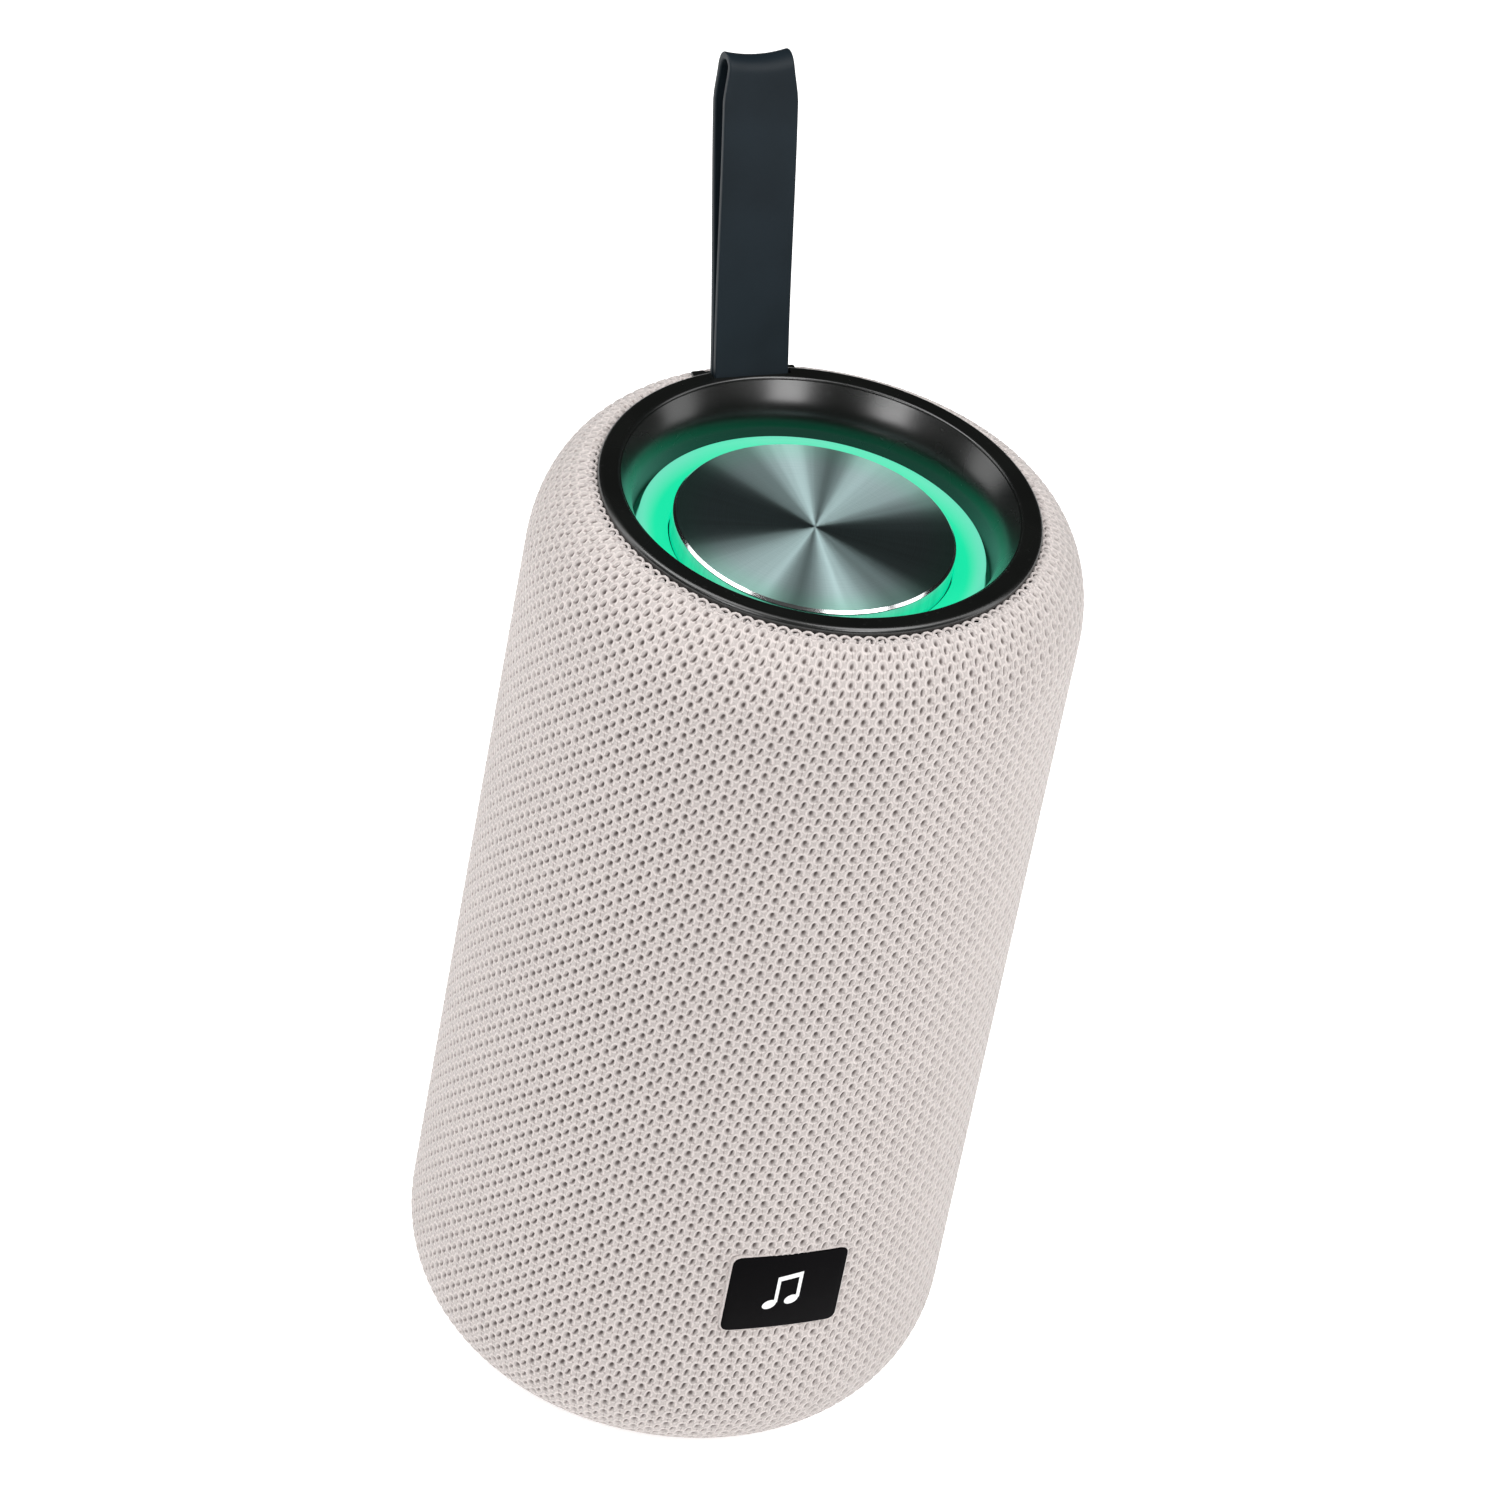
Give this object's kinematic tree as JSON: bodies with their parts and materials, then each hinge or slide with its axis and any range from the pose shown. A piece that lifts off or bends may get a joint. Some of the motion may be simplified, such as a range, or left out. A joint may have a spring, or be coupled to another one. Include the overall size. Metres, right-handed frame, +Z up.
{
  "type": "portable bluetooth speaker",
  "caption": "Upright cylinder speaker with knitted fabric sleeve, glowing light ring around a spun metal cap, silicone carry strap and rear control strip.",
  "frame": {"origin": "centre of the foot pad's flat underside", "axes": "+Z up along the cylinder, -Y to the front where the label is, +Y to the carry strap and control strip"},
  "size_m": [0.095, 0.1071, 0.233],
  "materials": {
    "knit_fabric": "matt light grey knitted polyester mesh",
    "grey_plastic": "moulded dark grey ABS",
    "black_gloss": "polished black ABS",
    "silicone": "satin blue-black silicone rubber",
    "steel": "plated steel",
    "light_diffuser": "translucent milky polycarbonate, lit green",
    "white_plastic": "white reflector plastic",
    "circuit_board": "green solder mask",
    "spun_metal": "circular spun, dark anodised, bright cut edge",
    "black_rubber": "matt butyl rubber",
    "zinc": "dark zinc plating",
    "cone_paper": "coated paper pulp",
    "cell_wrap": "shrink-wrapped cell sleeve",
    "panel_plastic": "fine-textured black ABS",
    "flap_rubber": "matt black silicone",
    "button_rubber": "matt black silicone keys",
    "foot_rubber": "matt black rubber",
    "wire_red": "PVC insulated wire"
  },
  "bodies": {
    "housing": {"fabric_sleeve": "knit_fabric", "grille_cage": "grey_plastic", "top_ring": "black_gloss", "strap_root": "silicone", "strap_pin": "steel", "light_ring": "light_diffuser", "light_reflector": "white_plastic", "led_board": "circuit_board", "radiator_surround": "black_rubber", "radiator_frame": "grey_plastic", "sound_chamber": "grey_plastic", "chamber_floor": "grey_plastic", "lower_driver_basket": "zinc", "lower_driver_magnet": "zinc", "lower_driver_surround": "black_rubber", "lower_driver_screw_1": "steel", "lower_driver_screw_2": "steel", "lower_driver_screw_3": "steel", "lower_driver_screw_4": "steel", "upper_driver_basket": "zinc", "upper_driver_magnet": "zinc", "upper_driver_surround": "black_rubber", "upper_driver_screw_1": "steel", "upper_driver_screw_2": "steel", "upper_driver_screw_3": "steel", "upper_driver_screw_4": "steel", "ring_screw_1": "steel", "ring_screw_2": "steel", "ring_screw_3": "steel", "chassis_tube": "grey_plastic", "main_board": "circuit_board", "battery_cradle": "grey_plastic", "battery_cell_lower": "cell_wrap", "battery_cell_upper": "cell_wrap", "control_panel": "panel_plastic", "button_board": "circuit_board", "port_board": "steel", "base_plate": "panel_plastic", "base_screw_1": "steel", "base_screw_2": "steel", "base_screw_3": "steel", "foot_pad": "foot_rubber", "label_plate": "black_gloss", "battery_lead": "wire_red", "lower_driver_lead": "wire_red", "upper_driver_lead": "wire_red", "led_lead": "wire_red"},
    "strap": {"strap_loop": "silicone"},
    "radiator": {"radiator_cap": "spun_metal", "radiator_piston": "grey_plastic"},
    "lower_cone": {"lower_driver_cone": "cone_paper"},
    "upper_cone": {"upper_driver_cone": "cone_paper"},
    "volume_down": {"volume_down_button": "button_rubber"},
    "play": {"play_button": "button_rubber"},
    "volume_up": {"volume_up_button": "button_rubber"},
    "light": {"light_button": "button_rubber"},
    "power": {"power_button": "button_rubber"},
    "flap": {"port_flap": "flap_rubber"}
  },
  "joints": [
    {"name": "strap_swing", "type": "hinge", "parent": "housing", "child": "strap", "pos_m": [0, 0.03762, 0.18384], "axis": [1, 0, 0], "range_deg": [-98, 110], "stiffness_Nm_per_rad": 0.01},
    {"name": "radiator_travel", "type": "slide", "parent": "housing", "child": "radiator", "axis": [0, 0, 1], "range_m": [-0.0018, 0.0018], "stiffness_N_per_m": 900, "deforming": ["radiator_surround"]},
    {"name": "lower_cone_travel", "type": "slide", "parent": "housing", "child": "lower_cone", "axis": [0, -1, 0], "range_m": [-0.0015, 0.0015], "stiffness_N_per_m": 800, "deforming": ["lower_driver_surround"]},
    {"name": "upper_cone_travel", "type": "slide", "parent": "housing", "child": "upper_cone", "axis": [0, -1, 0], "range_m": [-0.0015, 0.0015], "stiffness_N_per_m": 800, "deforming": ["upper_driver_surround"]},
    {"name": "volume_down_press", "type": "slide", "parent": "housing", "child": "volume_down", "axis": [0, -1, 0], "range_m": [0, 0.0006], "stiffness_N_per_m": 1500},
    {"name": "play_press", "type": "slide", "parent": "housing", "child": "play", "axis": [0, -1, 0], "range_m": [0, 0.0006], "stiffness_N_per_m": 1500},
    {"name": "volume_up_press", "type": "slide", "parent": "housing", "child": "volume_up", "axis": [0, -1, 0], "range_m": [0, 0.0006], "stiffness_N_per_m": 1500},
    {"name": "light_press", "type": "slide", "parent": "housing", "child": "light", "axis": [0, -1, 0], "range_m": [0, 0.0006], "stiffness_N_per_m": 1500},
    {"name": "power_press", "type": "slide", "parent": "housing", "child": "power", "axis": [0, -1, 0], "range_m": [0, 0.0006], "stiffness_N_per_m": 1500},
    {"name": "port_flap_hinge", "type": "hinge", "parent": "housing", "child": "flap", "pos_m": [0, 0.0463, 0.0268], "axis": [-1, 0, 0], "range_deg": [0, 105], "stiffness_Nm_per_rad": 0.002}
  ]
}
